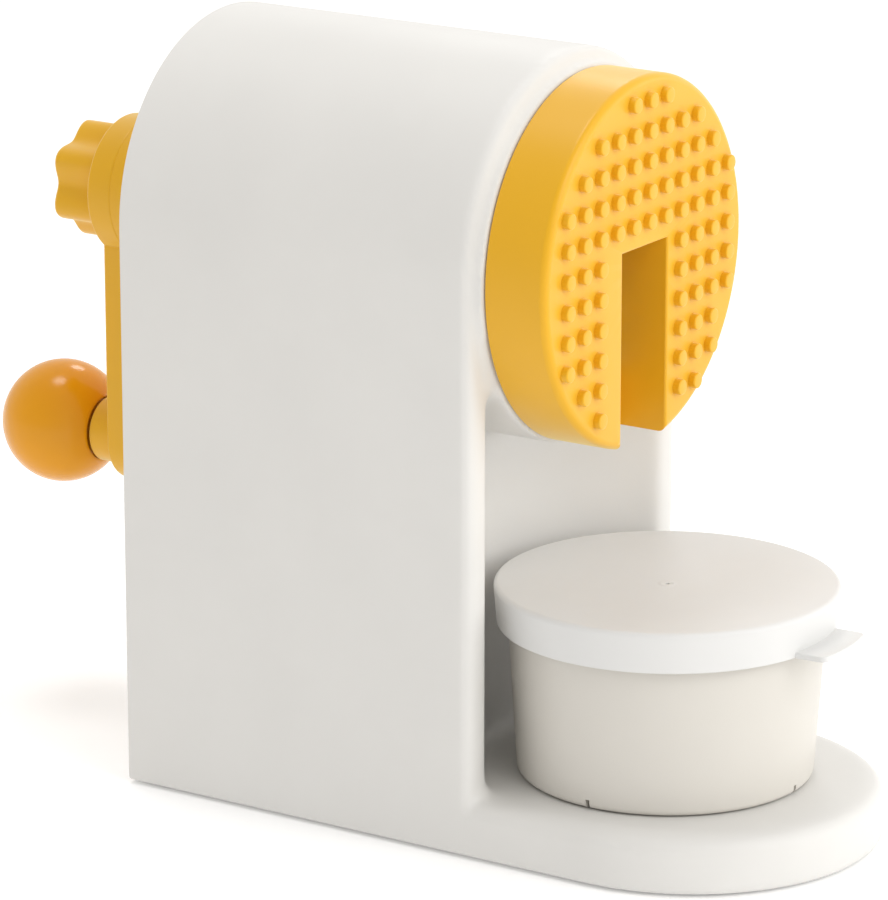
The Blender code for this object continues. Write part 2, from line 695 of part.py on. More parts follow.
def make_ball_knob():
    """A ball on a shouldered spindle, whose head is under a plug at the back."""
    first = math.degrees(math.acos((BALL_Y - BALL_FRONT) / BALL_RADIUS))
    last = 180.0 - math.degrees(math.asin(BALL_SEAT / BALL_RADIUS))
    angles = [math.radians(first + (last - first) * k / 12) for k in range(13)]
    profile = [(BALL_RADIUS * math.sin(a), BALL_Y - BALL_RADIUS * math.cos(a)) for a in angles]
    profile += [(BALL_SEAT, BALL_SEAT_Y), (PIN_HOLE, BALL_SEAT_Y), (PIN_HOLE, BALL_FRONT)]
    at = (0.0, 0.0, AXIS_Z - ARM_LENGTH)
    ball = paint(turned("ball_knob", profile, at, "Y", 24), "yellow_gloss")

    outer = BALL_SEAT - GAP
    inner = outer * 0.6
    plug_front = BALL_SEAT_Y + 4.0
    profile = [(0, plug_front), (outer, plug_front), (outer, ball_radius_end(outer) - 0.4)]
    profile += [(inner, ball_radius_end(inner)), (0, BALL_Y + BALL_RADIUS)]
    plug = paint(turned("knob_plug", profile, at, "Y", 14), "yellow_gloss")

    tip = HUB_Y[1] - ARM_THICKNESS + 2.5
    head = (outer, BALL_SEAT_Y + 3.3, BALL_SEAT_Y + GAP)
    pin = make_screw("knob_spindle", head, (PIN_RADIUS, tip), at, "Y")
    return ball, plug, pin


# Front cap


def chute_block():
    """The chute with its walls, which the cap's hollows leave standing."""
    low = (CHUTE_X[0] - CHUTE_WALL, CAP_Y[0] - 2.0, AXIS_Z - CAP_RADIUS - 5.0)
    high = (CHUTE_X[1] + CHUTE_WALL, CHUTE_BACK, CHUTE_TOP + CHUTE_WALL)
    return low, high


def peg_places():
    for row, runs in enumerate(PEG_ROWS):
        for first, last in runs:
            for column in range(first, last + 1):
                x = column * PEG_PITCH + PEG_CENTRE[0]
                yield x, AXIS_Z + (5 - row) * PEG_PITCH + PEG_CENTRE[1]


def make_front_cap():
    front, rear = CAP_Y
    corner = rounded(front, CAP_EDGE, 3)
    profile = [(0, front)] + [(CAP_RADIUS - inset, y) for y, inset in corner]
    low, high = [rear + depth for depth in SPIGOT_GROOVE]
    floor = SPIGOT_RADIUS - SPIGOT_GROOVE_DEPTH
    profile += [(CAP_RADIUS, rear), (SPIGOT_RADIUS, rear), (SPIGOT_RADIUS, low), (floor, low)]
    profile += [(floor, high), (SPIGOT_RADIUS, high), (SPIGOT_RADIUS, SPIGOT_END), (0, SPIGOT_END)]
    cap = turned("front_cap", profile, segments=40)

    inside = front + CAP_WALL
    pocket = rod("cap_pocket_form", POCKET_RADIUS, inside, SPIGOT_END + 1.0, segments=36)
    ring = tube_profile(SPIGOT_RADIUS + CAP_WALL, CAP_RADIUS - CAP_WALL, inside, rear + 1.0)
    groove = turned("cap_groove_form", ring, segments=36)
    near, far = chute_block()
    cut(pocket, box("pocket_keep_form", near, far))
    cut(groove, box("groove_keep_form", near, (far[0], rear + 4.0, far[2])))
    chute_low = (CHUTE_X[0], front - 5.0, AXIS_Z - CAP_RADIUS - 8.0)
    chute = box("chute_form", chute_low, (CHUTE_X[1], CHUTE_BACK, CHUTE_TOP))
    through_low = (CHUTE_X[0], CHUTE_BACK - 1.0, PASSAGE_LOW)
    through = box("chute_back_form", through_low, (CHUTE_X[1], CHUTE_BACK + 1.0, CHUTE_TOP))
    tip = front - PEG_HEIGHT
    pegs = [rod("peg", PEG_RADIUS, tip, front + 1.0, (x, 0.0, z), "Y", 6) for x, z in peg_places()]
    cut(cap, pocket, groove)
    join(cap, merged("peg_forms", pegs))
    cut(cap, chute, through)
    paint(cap, "yellow_plastic")

    seal = tube_profile(floor + GAP, BARREL_BORE - GAP, low + GAP, high - GAP)
    paint(turned("cap_seal", seal, segments=36), "clear_grey_rubber")
    return cap


def make_ricer_plate():
    """A disc with a block of holes where the chute is."""
    front = CHUTE_BACK + GAP
    rear = front + PLATE_THICKNESS
    plate = rod("ricer_plate", POCKET_RADIUS - GAP, front, rear, segments=36)
    middle = (CHUTE_X[0] + CHUTE_X[1]) / 2
    columns, rows = PLATE_GRID
    holes = []
    for row in range(rows):
        for column in range(columns):
            x = middle + (column - (columns - 1) / 2) * PLATE_PITCH[0]
            z = AXIS_Z + 0.5 - row * PLATE_PITCH[1]
            holes.append(rod("hole", PLATE_HOLE, front - 1.0, rear + 1.0, (x, 0.0, z), "Y", 6))
    return paint(cut(plate, merged("ricer_hole_forms", holes)), "steel")


# Bowl and lid


def make_bowl():
    foot, neck, rim = BOWL_FOOT_RADIUS, BOWL_NECK, BOWL_RIM
    under, floor = [BOWL_BOTTOM + height for height in BOWL_FLOOR]
    profile = [(foot, BOWL_BOTTOM), neck, (neck[0] + 0.4, rim[1] - 2.4), (rim[0], rim[1] - 2.0), rim]
    profile += [(rim[0] - 2.4, rim[1]), (neck[0] - BOWL_WALL, neck[1])]
    profile += [(foot - BOWL_WALL + 0.2, floor + 2.2), (foot - 4.0, floor), (0, floor), (0, under)]
    profile += [(foot - 3.0, under), (foot - 2.4, BOWL_BOTTOM)]
    bowl = turned("bowl", profile, (0.0, BOWL_Y, 0.0), "Z", 36)
    notches = []
    for x, y in ((1, 0), (0, 1), (-1, 0), (0, -1)):
        half_x = NOTCH_HALF_WIDTH + 3.0 * abs(x)
        half_y = NOTCH_HALF_WIDTH + 3.0 * abs(y)
        u, v = x * foot, BOWL_Y + y * foot
        low = (u - half_x, v - half_y, BOWL_BOTTOM - 1.0)
        notches.append(box("notch", low, (u + half_x, v + half_y, BOWL_BOTTOM + NOTCH_HEIGHT)))
    return paint(cut(bowl, merged("bowl_notch_forms", notches)), "bowl_plastic")


def tab_outline():
    half, corner, root = TAB_WIDTH / 2, TAB_CORNER, LID_SKIRT[0] - 0.6
    across = half - corner
    ahead = math.sqrt((TAB_REACH - corner) ** 2 - across**2)
    lean = math.degrees(math.atan2(across, ahead))
    points = [(-half, -math.sqrt(root**2 - half**2))]
    points += arc((-across, -ahead), corner, 180.0, 270.0 - lean, 4)
    points += arc((0.0, 0.0), TAB_REACH, 270.0 - lean, 270.0 + lean, 6)[1:-1]
    points += arc((across, -ahead), corner, 270.0 + lean, 360.0, 4)
    points += [(half, -math.sqrt(root**2 - half**2)), (0.0, -root)]
    turn = Matrix.Rotation(math.radians(TAB_TURN), 2)
    return [tuple(turn @ Vector(point)) for point in points]


def make_bowl_lid():
    radius, top = LID_RADIUS, LID_TOP
    profile = [(0, top - 0.9), (radius - 5.0, top - 0.5), (radius - 1.6, top), (radius - 0.4, top - 0.5)]
    profile += [(radius, top - 1.6), LID_SKIRT, (LID_BORE, LID_SKIRT[1]), (LID_BORE, top - 3.0)]
    profile += [(0, top - 3.2)]
    lid = turned("bowl_lid", profile, (0.0, BOWL_Y, 0.0), "Z", 36)
    low = LID_SKIRT[1] + 0.05
    outline = tab_outline()
    tab = lofted("tab_form", [(low, outline), (low + TAB_THICKNESS, outline)], (0.0, BOWL_Y, 0.0), "Z")
    return paint(join(lid, tab), "bowl_plastic")


def build():
    clear_scene()
    make_housing()
    make_back_cover()
    make_bottom_cover()
    make_feet()
    make_housing_screws()
    make_barrel()
    make_end_plate()
    make_bushes()
    make_piston()
    make_lead_screw()
    make_drive()
    crank_arm = make_crank_arm()
    star_knob = make_star_knob()
    ball_knob, knob_plug, knob_spindle = make_ball_knob()
    make_front_cap()
    make_ricer_plate()
    bowl = make_bowl()
    bowl_lid = make_bowl_lid()

    objects = bpy.data.objects
    crank_pivot = pivot("crank_pivot", (0.0, HUB_Y[1], AXIS_Z))
    carry(crank_pivot, crank_arm, star_knob, objects["drive_tube"], objects["drive_nut"])
    knob_pivot = pivot("knob_pivot", (0.0, COLLAR_END, AXIS_Z - ARM_LENGTH))
    carry(knob_pivot, ball_knob, knob_plug)
    carry(crank_pivot, knob_pivot, knob_spindle)
    press = [objects[name] for name in ("piston", "piston_seal", "piston_screw", "lead_screw")]
    carry(pivot("piston_slide", (0.0, PISTON_Y[0], AXIS_Z)), *press)
    cap = [objects[name] for name in ("front_cap", "ricer_plate", "cap_seal")]
    carry(pivot("cap_slide", (0.0, CAP_Y[1], AXIS_Z)), *cap)
    carry(pivot("bowl_slide", (0.0, BOWL_Y, BASE_TOP)), bowl, bowl_lid)


build()
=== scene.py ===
"""The looks of a countertop potato ricer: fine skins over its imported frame, materials and a studio.

Lengths are in millimetres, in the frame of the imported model: +Z up, -Y towards the bowl. MM turns
them into metres. Sizes come from the frame's own boxes, and the named values below are the
roundings and details that the frame leaves plain.
"""

import json
import math

import bmesh
import bpy
import numpy as np
from mathutils import Matrix, Vector


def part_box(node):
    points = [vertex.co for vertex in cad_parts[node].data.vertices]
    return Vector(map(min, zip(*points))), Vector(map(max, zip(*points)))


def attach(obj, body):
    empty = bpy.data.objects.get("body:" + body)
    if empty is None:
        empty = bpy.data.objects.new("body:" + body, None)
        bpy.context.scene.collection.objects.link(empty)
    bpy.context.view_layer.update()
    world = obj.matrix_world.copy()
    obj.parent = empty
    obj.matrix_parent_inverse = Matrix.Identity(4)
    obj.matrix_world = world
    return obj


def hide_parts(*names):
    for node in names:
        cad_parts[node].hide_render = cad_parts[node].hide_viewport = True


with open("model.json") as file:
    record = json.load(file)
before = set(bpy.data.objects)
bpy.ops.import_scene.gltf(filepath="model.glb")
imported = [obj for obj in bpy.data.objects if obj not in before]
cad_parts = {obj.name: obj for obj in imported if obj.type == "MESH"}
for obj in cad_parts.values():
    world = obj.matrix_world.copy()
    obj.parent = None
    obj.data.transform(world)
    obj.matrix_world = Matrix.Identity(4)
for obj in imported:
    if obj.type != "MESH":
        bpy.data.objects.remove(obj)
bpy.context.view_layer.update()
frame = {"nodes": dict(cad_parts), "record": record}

MM = 0.001
GAP = 0.3  # the room that the frame leaves between two pieces


def span(node):
    """The lowest and highest corner of a frame node, in millimetres."""
    low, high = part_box(node)
    return low / MM, high / MM


def centre(node):
    low, high = span(node)
    return (low + high) / 2


# Driving dimensions, from the frame
shell_low, shell_high = span("housing_shell")
cap_low, cap_high = span("front_cap")
bowl_low, bowl_high = span("bowl")
lid_low, lid_high = span("bowl_lid")
arm_low, arm_high = span("crank_arm")
ball_low, ball_high = span("ball_knob")
star_low, star_high = span("star_knob")
plug_low, plug_high = span("knob_plug")
cover_low, cover_high = span("back_cover")
floor_low, floor_high = span("bottom_cover")

HALF_WIDTH = shell_high.x
BACK_Y = shell_high.y
RIM_Z = shell_low.z
ARCH_Z = shell_high.z - HALF_WIDTH
BASE_ARC_Y = shell_low.y + HALF_WIDTH
AXIS_Z = centre("front_cap").z
BOWL_Y = centre("bowl").y
BASE_TOP = bowl_low.z - GAP

# Housing
FRONT_Y = -50.0
FRONT_ROUND = 3.4
BASE_TOP_ROUND = 5.3
BASE_LOW_ROUND = 1.2
COLUMN_FOOT_Z = 8.0
HEAD_RADIUS = 50.2
HEAD_FRONT = -52.3
MOUTH_RADIUS = 41.3  # of the opening that the press barrel shows through
BAY_RADIUS = 52.0
BAY_FILLET = 3.0
WALL = 2.8
SKIN_STEP = 1.0  # spacing of the housing's surface grid
BACK_SPARE = 5.0  # the grid runs past the back plane, which is then cut flat
EVEN_ROUNDS = 24
EVEN_ALL = 0.12  # share of the evening-out that the whole housing gets
EVEN_FADE = 3.4  # the bay's edges get all of it, fading over this distance

# Front cap
PEG_HEIGHT = 2.0
PEG_RADIUS = 2.15
PEG_ROUND = 0.45
PEG_PITCH = 8.0
PEG_CENTRE = (0.2, 3.0)  # of the grid, from the cap's axis
PEG_ROWS = (  # from the top row down: the runs of columns that hold a peg, -5 to 5
    ((-1, 1),),
    ((-3, 3),),
    ((-4, 4),),
    ((-5, 5),),
    ((-5, 5),),
    ((-5, -3), (2, 5)),
    ((-5, -3), (2, 5)),
    ((-5, -3), (2, 5)),
    ((-5, -3), (2, 4)),
    ((-4, -3), (2, 4)),
    ((-3, -3), (2, 3)),
)
CAP_FACE = cap_low.y + PEG_HEIGHT
CAP_REAR = HEAD_FRONT - GAP
CAP_RADIUS = cap_high.x
CAP_EDGE = 2.2
CAP_WALL = 3.0
CAP_REAR_EDGE = 0.4
SPIGOT_RADIUS = 37.4
SPIGOT_EDGE = 0.6
SEAL_GROOVE = (4.4, 7.0)  # from the cap's rear face
SEAL_GROOVE_DEPTH = 1.2
POCKET_RADIUS = 34.4
CHUTE_X = (-11.8, 10.6)
CHUTE_TOP = AXIS_Z + 4.5
CHUTE_BACK = -55.2
CHUTE_WALL = 2.5
CHUTE_ROUND = 0.7
PASSAGE_LOW = AXIS_Z - 30.0  # lower edge of the opening from the pocket into the chute

# Bowl and lid
BOWL_FOOT = 39.35
BOWL_NECK = (41.95, 57.0)  # radius and height where the wall's slope changes
BOWL_RIM = 43.4
BOWL_INNER = (40.15, 41.0)  # radii at the neck and at the rim
BOWL_FLOOR = (1.2, 2.8)  # above the bowl's foot
NOTCH = (0.6, 2.4)  # half width and height of the slits in the bowl's foot
LID_BORE = 43.8
LID_ROUND = 1.4
LID_TAPER = 1.0  # how much narrower the skirt's lower edge is
LID_DISH = 1.1
DISH_RADIUS = 41.0
GATE_RADIUS = 0.7
GATE_RING = (1.3, 2.1, 0.08)  # radii and height of the raised ring round the gate mark
TAB_WIDTH = 24.0
TAB_REACH = 53.3  # its outer edge is an arc round the lid's axis
TAB_CORNER = 2.0
TAB_THICKNESS = 1.6
TAB_TURN = 3.2  # degrees from straight ahead towards +X

# Crank
HUB_RADIUS = arm_high.z - AXIS_Z
KNOB_Z = centre("ball_knob").z
ARM_HALF_WIDTH = KNOB_Z - arm_low.z
ARM_THICKNESS = 8.0
ARM_BACK = star_low.y - GAP
ARM_ROUND = 0.8
HUB_STEP = 0.2  # the hub ahead of the arm is this much smaller than the arm's round end
COLLAR_RADIUS = 9.15
COLLAR_FILLET = 1.2
COLLAR_EDGE = 0.2
PIN_HOLE = 3.3
STAR_RADIUS = star_high.z - AXIS_Z
STAR_LOBES = 6
STAR_PHASE = math.radians(147.5)
STAR_DEPTH = 3.1
STAR_EDGES = (0.6, 1.2)  # roundings at the arm's side and at the outside
STAR_BORE_ROOF = 9.5  # thickness of the knob behind its bore
STAR_DISH = (8.6, 9.6, 0.7)  # radii at the floor and the mouth, and depth
TUBE_RADIUS = 9.0
TUBE_FLAT = 7.8
BALL_RADIUS = (ball_high.z - ball_low.z) / 2
BALL_SEAT = 5.3
BALL_SEAT_Y = 6.0  # of the seat's floor, from the ball's middle
BALL_RECESS = 3.0  # depth of the recess in the ball's face towards the arm
BALL_RECESS_RADII = (8.7, 9.0)  # at its floor and its mouth

# Covers
COVER = 2.6
BEARING_RADIUS = 14.0
BEARING_FILLET = 1.4
BEARING_EDGE = 0.9
BEARING_BORE = 12.0
HEAD_SEAT = 2.9
BACK_SEAT_DEPTH = 1.3
BOTTOM_SEAT_DEPTH = 1.4
SHANK_HOLE = 1.6
SHANK = 1.0
SCREW_HEAD = 2.5
HEAD_THICKNESS = 1.0
CROSS = (1.35, 0.28, 0.6)  # half length, half width and depth of the cross recess
BACK_SCREWS = ((-44.5, 24.0), (44.5, 24.0), (-31.5, 186.4), (31.5, 186.4))  # x, z
BOTTOM_SCREWS = ((-30.0, -105.0), (30.0, -105.0), (-44.5, 38.0), (44.5, 38.0))  # x, y
FEET = ("foot_front_left", "foot_front_right", "foot_back_left", "foot_back_right")

FLOOR_HALF = 6.0  # metres from the floor's middle to its edges

ON_TABLE = Vector((1.0, 1.0, 0.0))  # times a point: the same point at the table's height
SLOT_OF = {part["node"]: part["material_slot"] for part in frame["record"]["subparts"]}
BODY_OF = {
    node: body
    for body, nodes in frame["record"]["behaviour"]["bodies"].items()
    for node in nodes
}


# Mesh tools


def new_object(name, bm):
    bmesh.ops.recalc_face_normals(bm, faces=bm.faces)
    mesh = bpy.data.meshes.new(name)
    bm.to_mesh(mesh)
    bm.free()
    obj = bpy.data.objects.new(name, mesh)
    bpy.context.scene.collection.objects.link(obj)
    return obj


def placed(axis, u, v, height, at):
    """The point at height along the axis and at (u, v) across it, in metres."""
    x, y, z = (u, height, v) if axis == "Y" else (u, v, height)
    return Vector((x + at[0], y + at[1], z + at[2])) * MM


def join_loops(bm, lower, upper):
    if len(lower) == len(upper) == 1:
        return
    count = max(len(lower), len(upper))
    for k in range(count):
        after = (k + 1) % count
        corners = [lower[k % len(lower)], lower[after % len(lower)]]
        corners += [upper[after % len(upper)], upper[k % len(upper)]]
        bm.faces.new(list(dict.fromkeys(corners)))


def turned(name, profile, at=(0.0, 0.0, AXIS_Z), axis="Y", segments=144):
    """A body of revolution from a closed profile of (radius, height) points."""
    bm = bmesh.new()
    loops = []
    for radius, height in profile:
        count = segments if radius > 0 else 1
        turns = [2 * math.pi * k / count for k in range(count)]
        points = [(radius * math.cos(t), radius * math.sin(t)) for t in turns]
        loops.append([bm.verts.new(placed(axis, u, v, height, at)) for u, v in points])
    for lower, upper in zip(loops, loops[1:] + loops[:1]):
        join_loops(bm, lower, upper)
    return new_object(name, bm)


def lofted(name, sections, at=(0.0, 0.0, 0.0), axis="Y"):
    """A closed body through sections of (height, outline), all with as many points."""
    bm = bmesh.new()
    loops = []
    for height, outline in sections:
        loops.append([bm.verts.new(placed(axis, u, v, height, at)) for u, v in outline])
    for lower, upper in zip(loops, loops[1:]):
        join_loops(bm, lower, upper)
    bm.faces.new(loops[0])
    bm.faces.new(loops[-1])
    return new_object(name, bm)


def rod(name, radius, start, end, at=(0.0, 0.0, AXIS_Z), axis="Y", segments=144):
    profile = [(0, start), (radius, start), (radius, end), (0, end)]
    return turned(name, profile, at, axis, segments)


def slab(name, low, high):
    outline = [(low[0], low[2]), (high[0], low[2]), (high[0], high[2]), (low[0], high[2])]
    return lofted(name, [(low[1], outline), (high[1], outline)])


def arc(middle, radius, first, last, steps):
    """Points on an arc; the angles are in degrees from +u towards +v."""
    angles = [math.radians(first + (last - first) * k / steps) for k in range(steps + 1)]
    return [(middle[0] + radius * math.cos(a), middle[1] + radius * math.sin(a)) for a in angles]


def rounded(start, radius, steps=8):
    """(height, inset) pairs that round an edge over from its face at start to its side."""
    angles = [math.pi / 2 * k / steps for k in range(steps + 1)]
    return [(start + radius * (1 - math.cos(a)), abs(radius) * (1 - math.sin(a))) for a in angles]


def softened(points, radii, steps=6):
    """A closed (radius, height) profile with its corners rounded, each by its own radius."""
    out = []
    count = len(points)
    for k, (point, radius) in enumerate(zip(points, radii)):
        here = Vector(point)
        if radius <= 0:
            out.append(tuple(here))
            continue
        before = (Vector(points[k - 1]) - here).normalized()
        after = (Vector(points[(k + 1) % count]) - here).normalized()
        half = before.angle(after) / 2
        reach = radius / math.tan(half)
        middle = here + (before + after).normalized() * (radius / math.sin(half))
        start = here + before * reach - middle
        turn = start.angle_signed(here + after * reach - middle)
        for step in range(steps + 1):
            spun = Matrix.Rotation(-turn * step / steps, 2) @ start
            out.append(tuple(middle + spun))
    return out


def merged(name, objects):
    """One mesh out of several."""
    bm = bmesh.new()
    for obj in objects:
        bm.from_mesh(obj.data)
        remove(obj)
    return new_object(name, bm)


def remove(obj):
    mesh = obj.data
    bpy.data.objects.remove(obj, do_unlink=True)
    bpy.data.meshes.remove(mesh)


def settle(obj):
    """Turns the object's modifiers into its own mesh."""
    graph = bpy.context.evaluated_depsgraph_get()
    mesh = bpy.data.meshes.new_from_object(obj.evaluated_get(graph))
    old = obj.data
    obj.modifiers.clear()
    obj.data = mesh
    bpy.data.meshes.remove(old)
    return obj


def combine(obj, others, operation):
    for other in others:
        modifier = obj.modifiers.new("combine", "BOOLEAN")
        modifier.operation = operation
        modifier.object = other
        modifier.solver = "MANIFOLD"
        settle(obj)
        remove(other)
    return obj


def cut(obj, *others):
    return combine(obj, others, "DIFFERENCE")


def join(obj, *others):
    return combine(obj, others, "UNION")


def smooth(obj, angle=35.0):
    """Smooth shading, but for edges sharper than the angle; large flat faces stay flat."""
    obj.data.shade_smooth()
    obj.data.set_sharp_from_angle(angle=math.radians(angle))
    weighted = obj.modifiers.new("weighted", "WEIGHTED_NORMAL")
    weighted.keep_sharp = True
    return obj


def relax(obj, weight, rounds):
    """Evens the surface out, by weight(points) at each point from 0 to 1."""
    mesh = obj.data
    count = len(mesh.vertices)
    co = np.zeros(count * 3, np.float32)
    mesh.vertices.foreach_get("co", co)
    co = co.reshape(-1, 3).astype(float)
    ends = np.zeros(len(mesh.edges) * 2, np.int32)
    mesh.edges.foreach_get("vertices", ends)
    first, second = ends.reshape(-1, 2).T
    degree = np.bincount(np.concatenate([first, second]), minlength=count)[:, None]
    share = 0.5 * weight(co / MM)[:, None]
    for _ in range(rounds):
        total = np.zeros_like(co)
        for axis in range(3):
            total[:, axis] = np.bincount(first, co[second, axis], count)
            total[:, axis] += np.bincount(second, co[first, axis], count)
        co += share * (total / degree - co)
    mesh.vertices.foreach_set("co", co.astype(np.float32).ravel())
    mesh.update()


def stand_for(obj, node):
    """The object takes the node's place, body and finish."""
    obj.name = f"{node}_skin"
    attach(obj, BODY_OF[node])
    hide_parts(node)
    finish(obj, node)


def finish(obj, node):
    """Gives the object the material of the node's slot."""
    obj.data.materials.clear()
    obj.data.materials.append(MATERIALS[SLOT_OF[node]])


# Materials


def set_range(node, start, end, low, high):
    limits = {"From Min": start, "From Max": end, "To Min": low, "To Max": high}
    for socket, number in limits.items():
        node.inputs[socket].default_value = number


class Shader:
    """A Principled material with a node tree to build on."""

    def __init__(self, name, roughness, metallic=0.0):
        self.material = bpy.data.materials.new(name)
        self.material.use_nodes = True
        self.tree = self.material.node_tree
        self.principled = self.tree.nodes["Principled BSDF"]
        self.principled.inputs["Roughness"].default_value = roughness
        self.principled.inputs["Metallic"].default_value = metallic
        self.place = self.tree.nodes.new("ShaderNodeTexCoord").outputs["Object"]

    def set(self, socket, value):
        self.principled.inputs[socket].default_value = value

    def link(self, source, socket):
        self.tree.links.new(source, socket)

    def noise(self, size, detail=2.0, stretch=(1.0, 1.0, 1.0)):
        """Noise with features of about size millimetres, longer where stretch is smaller."""
        mapping = self.tree.nodes.new("ShaderNodeMapping")
        mapping.inputs["Scale"].default_value = stretch
        self.link(self.place, mapping.inputs["Vector"])
        noise = self.tree.nodes.new("ShaderNodeTexNoise")
        noise.inputs["Scale"].default_value = 1.0 / (size * MM)
        noise.inputs["Detail"].default_value = detail
        self.link(mapping.outputs["Vector"], noise.inputs["Vector"])
        return noise.outputs["Fac"]

    def ranged(self, value, low, high, start=0.3, end=0.7):
        """The value, from low where it is start to high where it is end."""
        node = self.tree.nodes.new("ShaderNodeMapRange")
        set_range(node, start, end, low, high)
        self.link(value, node.inputs["Value"])
        return node.outputs["Result"]

    def blend(self, value, first, second):
        """A colour from first to second as value goes from 0 to 1."""
        node = self.tree.nodes.new("ShaderNodeMix")
        node.data_type = "RGBA"
        node.inputs["A"].default_value = (*first, 1.0)
        node.inputs["B"].default_value = (*second, 1.0)
        self.link(value, node.inputs["Factor"])
        return node.outputs["Result"]

    def colour(self, value, first, second):
        mixed = self.blend(self.ranged(value, 0.0, 1.0), first, second)
        self.link(mixed, self.principled.inputs["Base Color"])

    def roughness(self, value, low, high):
        self.link(self.ranged(value, low, high), self.principled.inputs["Roughness"])

    def bump(self, height, depth, after=None):
        """Relief of depth millimetres, on top of the relief made before it."""
        node = self.tree.nodes.new("ShaderNodeBump")
        node.inputs["Distance"].default_value = depth * MM
        self.link(height, node.inputs["Height"])
        if after is not None:
            self.link(after, node.inputs["Normal"])
        self.link(node.outputs["Normal"], self.principled.inputs["Normal"])
        return node.outputs["Normal"]


def tone(colour, factor):
    return tuple(min(1.0, channel * factor) for channel in colour)


def moulded(name, colour, roughness, grain=0.012, ior=1.43, sheen=0.0):
    """Injection-moulded plastic: faint flow clouds, a fine even grain and patchy gloss."""
    shader = Shader(name, roughness)
    clouds = shader.noise(38.0, 3.0)
    shader.colour(clouds, tone(colour, 0.985), tone(colour, 1.015))
    shader.roughness(shader.noise(9.0, 3.0), roughness - 0.03, roughness + 0.03)
    broad = shader.bump(shader.noise(14.0, 1.0), 0.03)
    shader.bump(shader.noise(0.5, 2.0), grain, broad)
    shader.set("IOR", ior)
    shader.set("Sheen Weight", sheen)
    shader.set("Sheen Roughness", 0.4)
    shader.set("Sheen Tint", (1.0, 0.9, 0.5, 1.0))
    return shader.material


def rubber(name, colour, roughness):
    shader = Shader(name, roughness)
    shader.colour(shader.noise(5.0, 4.0), tone(colour, 0.85), tone(colour, 1.15))
    shader.roughness(shader.noise(2.0, 3.0), roughness - 0.06, roughness + 0.06)
    shader.bump(shader.noise(0.35, 3.0), 0.03)
    return shader.material


def metal(name, colour, roughness, stretch):
    """Worked metal whose tool marks are long where stretch is small."""
    shader = Shader(name, roughness, 1.0)
    marks = shader.noise(0.5, 4.0, stretch)
    shader.colour(shader.noise(6.0, 3.0), tone(colour, 0.94), tone(colour, 1.04))
    shader.roughness(marks, roughness - 0.07, roughness + 0.08)
    shader.bump(marks, 0.006)
    return shader.material


YELLOW = (0.77, 0.405, 0.006)
DEEP_YELLOW = (0.78, 0.33, 0.005)
MATERIALS = {
    "housing_white": moulded("housing_plastic", (0.725, 0.716, 0.692), 0.46),
    "yellow_satin": moulded("yellow_satin_plastic", YELLOW, 0.36, sheen=0.8),
    "yellow_gloss": moulded("yellow_gloss_plastic", DEEP_YELLOW, 0.2, 0.004, ior=1.38),
    "bowl_white": moulded("bowl_plastic", (0.655, 0.63, 0.58), 0.4),
    "lid_white": moulded("lid_plastic", (0.72, 0.72, 0.71), 0.42),
    "foot_rubber": rubber("foot_rubber_black", (0.03, 0.03, 0.032), 0.75),
    "seal_rubber": rubber("seal_silicone", (0.55, 0.55, 0.53), 0.5),
    "acetal_white": moulded("acetal", (0.80, 0.80, 0.77), 0.34, 0.008),
    "bush_brass": metal("turned_brass", (0.78, 0.58, 0.28), 0.3, (1.0, 0.1, 1.0)),
    "plate_steel": metal("brushed_plate", (0.62, 0.62, 0.61), 0.32, (0.06, 1.0, 1.0)),
    "hardware_steel": metal("hardware_steel_zinc", (0.63, 0.64, 0.65), 0.3, (1.0, 1.0, 1.0)),
}


# Housing


def arch_outline(inset=0.0, foot=COLUMN_FOOT_Z):
    half = HALF_WIDTH - inset
    return [(half, foot), *arc((0.0, ARCH_Z), half, 0.0, 180.0, 120), (-half, foot)]


def base_outline(inset=0.0, back=BACK_Y):
    half = HALF_WIDTH - inset
    return [(half, back), (-half, back), *arc((0.0, BASE_ARC_Y), half, 180.0, 360.0, 120)]


def housing_form():
    """Column, base and head without the bay, a little too long at the back."""
    back = BACK_Y + BACK_SPARE
    levels = [(y, arch_outline(inset)) for y, inset in rounded(FRONT_Y, FRONT_ROUND)]
    column = lofted("column_form", levels + [(back, arch_outline())])
    levels = rounded(RIM_Z, BASE_LOW_ROUND, 4) + rounded(BASE_TOP, -BASE_TOP_ROUND)[::-1]
    base = lofted("base_form", [(z, base_outline(inset, back)) for z, inset in levels], axis="Z")
    head = rod("head_form", HEAD_RADIUS, HEAD_FRONT, FRONT_Y + 10.0)
    return join(column, base, head)


def bay_form():
    """The bowl's bay: a round hollow with a filleted floor, under the head."""
    fillet = [(BAY_RADIUS - inset, z) for z, inset in rounded(BASE_TOP, BAY_FILLET)]
    profile = [(0, BASE_TOP), *fillet, (BAY_RADIUS, AXIS_Z), (0, AXIS_Z)]
    bay = turned("bay_form", profile, (0.0, BOWL_Y, 0.0), "Z")
    head = rod("bay_head_form", HEAD_RADIUS, HEAD_FRONT - 8.0, BACK_Y)
    return cut(bay, head)


def bay_weight(points):
    """How strongly the housing's surface is evened out: most along the bay's edges."""
    x, y, z = points.T
    from_wall = np.abs(np.hypot(x, y - BOWL_Y) - BAY_RADIUS)
    near = np.clip(1.4 - from_wall / EVEN_FADE, 0.0, 1.0)
    inside = (y < FRONT_Y + 25.0) & (z > BASE_TOP - 3.0) & (z < AXIS_Z - 12.0)
    inside &= np.abs(x) < HALF_WIDTH - 1.5
    return EVEN_ALL + (1.0 - EVEN_ALL) * near * inside


